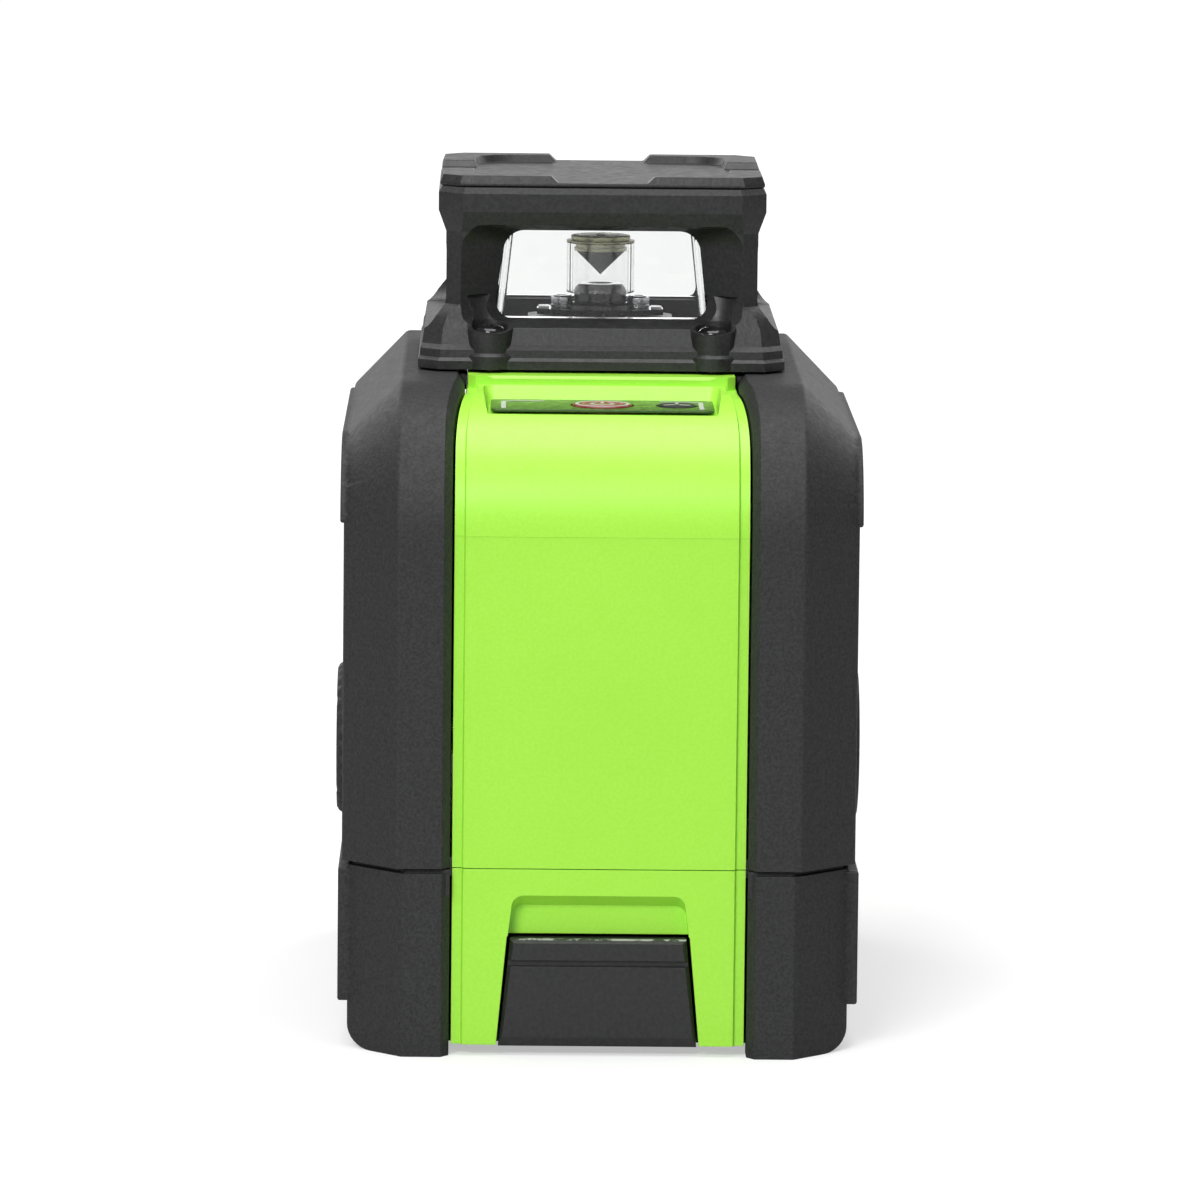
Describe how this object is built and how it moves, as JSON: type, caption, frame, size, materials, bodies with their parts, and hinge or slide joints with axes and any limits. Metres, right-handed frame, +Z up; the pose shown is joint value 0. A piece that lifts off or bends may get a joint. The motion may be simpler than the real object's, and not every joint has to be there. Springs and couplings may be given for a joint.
{
  "type": "cross-line laser level",
  "caption": "Self-levelling cross-line laser level with a glass lantern around a cone mirror, rubber side grips, a keypad, a side lock knob and a latched battery door.",
  "frame": {"origin": "middle of the underside that the level stands on", "axes": "+Z up, the keypad and latch side faces -Y, the lock knob is on the -X side"},
  "size_m": [0.0678, 0.104, 0.1095],
  "materials": {
    "green_plastic": "fine satin moulded plastic",
    "rubber": "fine-grained matte over-moulded rubber",
    "black_plastic": "satin glass-filled plastic",
    "gloss_black": "glossy black",
    "red_plastic": "satin",
    "clear_glass": "clear",
    "mirror": "polished",
    "aluminium": "machined",
    "steel": "nickel-plated",
    "brass": "turned",
    "circuit_board": "solder mask",
    "cell_wrap": "printed wrap over steel"
  },
  "bodies": {
    "root": {"rear_spine": "green_plastic", "front_spine": "green_plastic", "base_rear_panel": "green_plastic", "base_front_panel": "green_plastic", "left_side_shell": "rubber", "right_side_shell": "rubber", "left_base_shell": "rubber", "right_base_shell": "rubber", "window_gasket": "rubber", "lantern_frame": "black_plastic", "lantern_cap": "black_plastic", "keypad_label": "black_plastic", "battery_tray": "black_plastic", "lantern_screw_1": "gloss_black", "lantern_screw_2": "gloss_black", "lantern_screw_3": "gloss_black", "lantern_screw_4": "gloss_black", "lantern_window": "clear_glass", "front_window": "clear_glass", "chassis_plate": "aluminium", "gimbal_bracket_left": "aluminium", "gimbal_bracket_right": "aluminium", "left_contact_strip": "steel", "right_contact_strip": "steel", "battery_spring_1": "steel", "battery_spring_2": "steel", "battery_spring_3": "steel", "battery_spring_4": "steel", "cover_hinge_pin": "steel", "gimbal_pin_left": "steel", "gimbal_pin_right": "steel", "damping_magnet_front": "steel", "damping_magnet_rear": "steel", "tripod_insert": "brass", "keypad_board": "circuit_board", "main_board": "circuit_board", "battery_cell_1": "cell_wrap", "battery_cell_2": "cell_wrap", "battery_cell_3": "cell_wrap", "battery_cell_4": "cell_wrap"},
    "battery_cover": {"battery_cover": "black_plastic", "latch_pin": "steel"},
    "battery_latch": {"battery_latch": "black_plastic"},
    "gimbal": {"gimbal_ring": "aluminium", "pendulum_pin_front": "steel", "pendulum_pin_rear": "steel"},
    "pendulum": {"pendulum_body": "aluminium", "pendulum_weight": "brass", "up_laser_module": "brass", "forward_laser_module": "brass", "tube_holder": "black_plastic", "flange_screw_left": "steel", "flange_screw_right": "steel", "glass_tube": "clear_glass", "cone_mirror": "mirror"},
    "power_button": {"power_button": "red_plastic"},
    "mode_button": {"mode_button": "rubber"},
    "lock_knob": {"lock_knob": "rubber", "lock_shaft": "steel"},
    "lock_slider": {"lock_slider": "steel"}
  },
  "joints": [
    {"name": "battery_cover_hinge", "type": "hinge", "parent": "root", "child": "battery_cover", "pos_m": [0, 0.0332, 0.0023], "axis": [1, 0, 0], "range_deg": [0, 95]},
    {"name": "battery_latch_hinge", "type": "hinge", "parent": "battery_cover", "child": "battery_latch", "pos_m": [0, -0.045, 0.005], "axis": [1, 0, 0], "range_deg": [0, 10], "stiffness_Nm_per_rad": 0.02, "springref_deg": -17.19},
    {"name": "gimbal_pitch", "type": "hinge", "parent": "root", "child": "gimbal", "pos_m": [0, 0, 0.062], "axis": [1, 0, 0], "range_deg": [-4, 4]},
    {"name": "pendulum_roll", "type": "hinge", "parent": "gimbal", "child": "pendulum", "pos_m": [0, 0, 0.062], "axis": [0, 1, 0], "range_deg": [-4, 4]},
    {"name": "lock_knob_turn", "type": "hinge", "parent": "root", "child": "lock_knob", "pos_m": [-0.0301, -0.017, 0.03575], "axis": [1, 0, 0], "range_deg": [0, 90]},
    {"name": "lock_slider_lift", "type": "slide", "parent": "root", "child": "lock_slider", "axis": [0, 0, 1], "range_m": [0, 0.0024]},
    {"name": "power_button_press", "type": "slide", "parent": "root", "child": "power_button", "axis": [0, 0, -1], "range_m": [0, 0.0006], "stiffness_N_per_m": 600, "springref_m": -0.0008},
    {"name": "mode_button_press", "type": "slide", "parent": "root", "child": "mode_button", "axis": [0, 0, -1], "range_m": [0, 0.0006], "stiffness_N_per_m": 600, "springref_m": -0.0008}
  ],
  "couplings": [
    {"joint": "lock_knob_turn", "follows": "lock_slider_lift", "rad_per_m": 654.49}
  ]
}
